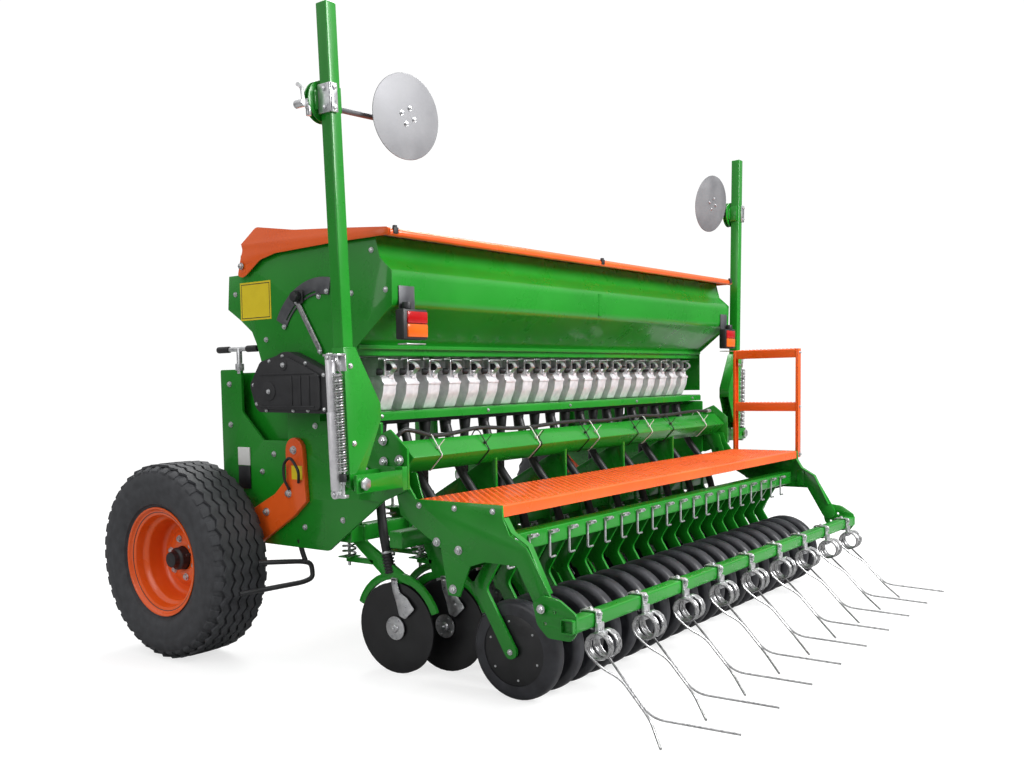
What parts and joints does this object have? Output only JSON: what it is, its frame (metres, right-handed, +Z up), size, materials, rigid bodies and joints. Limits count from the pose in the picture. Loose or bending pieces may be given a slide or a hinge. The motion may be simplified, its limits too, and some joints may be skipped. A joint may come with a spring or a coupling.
{
  "type": "mounted seed drill",
  "caption": "Tractor-mounted mechanical seed drill with hopper, disc openers, press wheels, tine harrow, carrying wheels and folding row markers.",
  "frame": {"origin": "on the ground, midway across the machine and midway between its front and rear ends", "axes": "+X to the machine's right, +Y in its direction of travel, +Z up"},
  "size_m": [3.2414, 2.5238, 2.2399],
  "materials": {
    "green_paint": "gloss",
    "orange_paint": "gloss",
    "tyre_rubber": "matte",
    "press_wheel_rubber": "satin",
    "hose_black": "satin",
    "black_plastic": "matte",
    "zinc_steel": "satin"
  },
  "bodies": {
    "drill": {"headstock": "green_paint", "main_beam": "green_paint", "hopper_rear_wall": "green_paint", "hopper_front_wall": "green_paint", "metering_units": "zinc_steel", "metering_channel": "green_paint", "seed_tubes": "hose_black", "gearbox_cover": "black_plastic", "rate_quadrant": "zinc_steel", "openers_front": "green_paint", "openers_rear": "green_paint", "press_frame": "green_paint", "platform": "orange_paint", "hydraulic_hose": "hose_black", "side_frame_left": "green_paint", "side_frame_right": "green_paint", "hopper_end_left": "green_paint", "hopper_end_right": "green_paint", "platform_bracket_left": "green_paint", "platform_bracket_right": "green_paint", "wheel_arm_left": "orange_paint", "wheel_arm_right": "orange_paint", "marker_bracket_left": "green_paint", "marker_bracket_right": "green_paint", "tail_light_left": "black_plastic", "tail_light_right": "black_plastic"},
    "lid": {"hopper_lid": "orange_paint"},
    "step_ladder": {"ladder": "orange_paint"},
    "tine_harrow": {"harrow": "green_paint"},
    "carrying_wheel_left": {"tyre_left": "tyre_rubber", "wheel_rim_left": "orange_paint"},
    "marker_left": {"marker_mast_left": "green_paint", "marker_strut_left": "zinc_steel"},
    "marker_plough_left": {"marker_disc_left": "zinc_steel"},
    "carrying_wheel_right": {"tyre_right": "tyre_rubber", "wheel_rim_right": "orange_paint"},
    "marker_right": {"marker_mast_right": "green_paint", "marker_strut_right": "zinc_steel"},
    "marker_plough_right": {"marker_disc_right": "zinc_steel"},
    "press_01": {"press_wheel_01": "press_wheel_rubber"},
    "press_02": {"press_wheel_02": "press_wheel_rubber"},
    "press_03": {"press_wheel_03": "press_wheel_rubber"},
    "press_04": {"press_wheel_04": "press_wheel_rubber"},
    "press_05": {"press_wheel_05": "press_wheel_rubber"},
    "press_06": {"press_wheel_06": "press_wheel_rubber"},
    "press_07": {"press_wheel_07": "press_wheel_rubber"},
    "press_08": {"press_wheel_08": "press_wheel_rubber"},
    "press_09": {"press_wheel_09": "press_wheel_rubber"},
    "press_10": {"press_wheel_10": "press_wheel_rubber"},
    "press_11": {"press_wheel_11": "press_wheel_rubber"},
    "press_12": {"press_wheel_12": "press_wheel_rubber"},
    "press_13": {"press_wheel_13": "press_wheel_rubber"},
    "press_14": {"press_wheel_14": "press_wheel_rubber"},
    "press_15": {"press_wheel_15": "press_wheel_rubber"},
    "press_16": {"press_wheel_16": "press_wheel_rubber"},
    "press_17": {"press_wheel_17": "press_wheel_rubber"},
    "press_18": {"press_wheel_18": "press_wheel_rubber"},
    "press_19": {"press_wheel_19": "press_wheel_rubber"},
    "press_20": {"press_wheel_20": "press_wheel_rubber"}
  },
  "joints": [
    {"name": "lid_hinge", "type": "hinge", "parent": "drill", "child": "lid", "pos_m": [0, 0.574, 1.5], "axis": [-1, 0, 0], "range_deg": [0, 95]},
    {"name": "ladder_hinge", "type": "hinge", "parent": "drill", "child": "step_ladder", "pos_m": [1.35, -0.371, 0.638], "axis": [0, 1, 0], "range_deg": [0, 170]},
    {"name": "harrow_tilt", "type": "hinge", "parent": "drill", "child": "tine_harrow", "pos_m": [0, -0.713, 0.352], "axis": [-1, 0, 0], "range_deg": [0, 35]},
    {"name": "wheel_left_spin", "type": "hinge", "parent": "drill", "child": "carrying_wheel_left", "pos_m": [-1.47, 0.881, 0.38], "axis": [1, 0, 0], "continuous": true},
    {"name": "marker_left_fold", "type": "hinge", "parent": "drill", "child": "marker_left", "pos_m": [-1.535, -0.111, 0.73], "axis": [0, -1, 0], "range_deg": [0, 95]},
    {"name": "marker_disc_left_spin", "type": "hinge", "parent": "marker_left", "child": "marker_plough_left", "pos_m": [-1.225, -0.128, 1.957], "axis": [0.1736, 0.9847, 0.0175], "continuous": true},
    {"name": "wheel_right_spin", "type": "hinge", "parent": "drill", "child": "carrying_wheel_right", "pos_m": [1.47, 0.881, 0.38], "axis": [1, 0, 0], "continuous": true},
    {"name": "marker_right_fold", "type": "hinge", "parent": "drill", "child": "marker_right", "pos_m": [1.535, -0.111, 0.73], "axis": [0, 1, 0], "range_deg": [0, 95]},
    {"name": "marker_disc_right_spin", "type": "hinge", "parent": "marker_right", "child": "marker_plough_right", "pos_m": [1.225, -0.128, 1.957], "axis": [0.1378, 0.9806, 0.1392], "continuous": true},
    {"name": "press_wheel_01_spin", "type": "hinge", "parent": "drill", "child": "press_01", "pos_m": [-1.1875, -0.526, 0.167], "axis": [1, 0, 0], "continuous": true},
    {"name": "press_wheel_02_spin", "type": "hinge", "parent": "drill", "child": "press_02", "pos_m": [-1.0625, -0.526, 0.167], "axis": [1, 0, 0], "continuous": true},
    {"name": "press_wheel_03_spin", "type": "hinge", "parent": "drill", "child": "press_03", "pos_m": [-0.9375, -0.526, 0.167], "axis": [1, 0, 0], "continuous": true},
    {"name": "press_wheel_04_spin", "type": "hinge", "parent": "drill", "child": "press_04", "pos_m": [-0.8125, -0.526, 0.167], "axis": [1, 0, 0], "continuous": true},
    {"name": "press_wheel_05_spin", "type": "hinge", "parent": "drill", "child": "press_05", "pos_m": [-0.6875, -0.526, 0.167], "axis": [1, 0, 0], "continuous": true},
    {"name": "press_wheel_06_spin", "type": "hinge", "parent": "drill", "child": "press_06", "pos_m": [-0.5625, -0.526, 0.167], "axis": [1, 0, 0], "continuous": true},
    {"name": "press_wheel_07_spin", "type": "hinge", "parent": "drill", "child": "press_07", "pos_m": [-0.4375, -0.526, 0.167], "axis": [1, 0, 0], "continuous": true},
    {"name": "press_wheel_08_spin", "type": "hinge", "parent": "drill", "child": "press_08", "pos_m": [-0.3125, -0.526, 0.167], "axis": [1, 0, 0], "continuous": true},
    {"name": "press_wheel_09_spin", "type": "hinge", "parent": "drill", "child": "press_09", "pos_m": [-0.1875, -0.526, 0.167], "axis": [1, 0, 0], "continuous": true},
    {"name": "press_wheel_10_spin", "type": "hinge", "parent": "drill", "child": "press_10", "pos_m": [-0.0625, -0.526, 0.167], "axis": [1, 0, 0], "continuous": true},
    {"name": "press_wheel_11_spin", "type": "hinge", "parent": "drill", "child": "press_11", "pos_m": [0.0625, -0.526, 0.167], "axis": [1, 0, 0], "continuous": true},
    {"name": "press_wheel_12_spin", "type": "hinge", "parent": "drill", "child": "press_12", "pos_m": [0.1875, -0.526, 0.167], "axis": [1, 0, 0], "continuous": true},
    {"name": "press_wheel_13_spin", "type": "hinge", "parent": "drill", "child": "press_13", "pos_m": [0.3125, -0.526, 0.167], "axis": [1, 0, 0], "continuous": true},
    {"name": "press_wheel_14_spin", "type": "hinge", "parent": "drill", "child": "press_14", "pos_m": [0.4375, -0.526, 0.167], "axis": [1, 0, 0], "continuous": true},
    {"name": "press_wheel_15_spin", "type": "hinge", "parent": "drill", "child": "press_15", "pos_m": [0.5625, -0.526, 0.167], "axis": [1, 0, 0], "continuous": true},
    {"name": "press_wheel_16_spin", "type": "hinge", "parent": "drill", "child": "press_16", "pos_m": [0.6875, -0.526, 0.167], "axis": [1, 0, 0], "continuous": true},
    {"name": "press_wheel_17_spin", "type": "hinge", "parent": "drill", "child": "press_17", "pos_m": [0.8125, -0.526, 0.167], "axis": [1, 0, 0], "continuous": true},
    {"name": "press_wheel_18_spin", "type": "hinge", "parent": "drill", "child": "press_18", "pos_m": [0.9375, -0.526, 0.167], "axis": [1, 0, 0], "continuous": true},
    {"name": "press_wheel_19_spin", "type": "hinge", "parent": "drill", "child": "press_19", "pos_m": [1.0625, -0.526, 0.167], "axis": [1, 0, 0], "continuous": true},
    {"name": "press_wheel_20_spin", "type": "hinge", "parent": "drill", "child": "press_20", "pos_m": [1.1875, -0.526, 0.167], "axis": [1, 0, 0], "continuous": true}
  ]
}
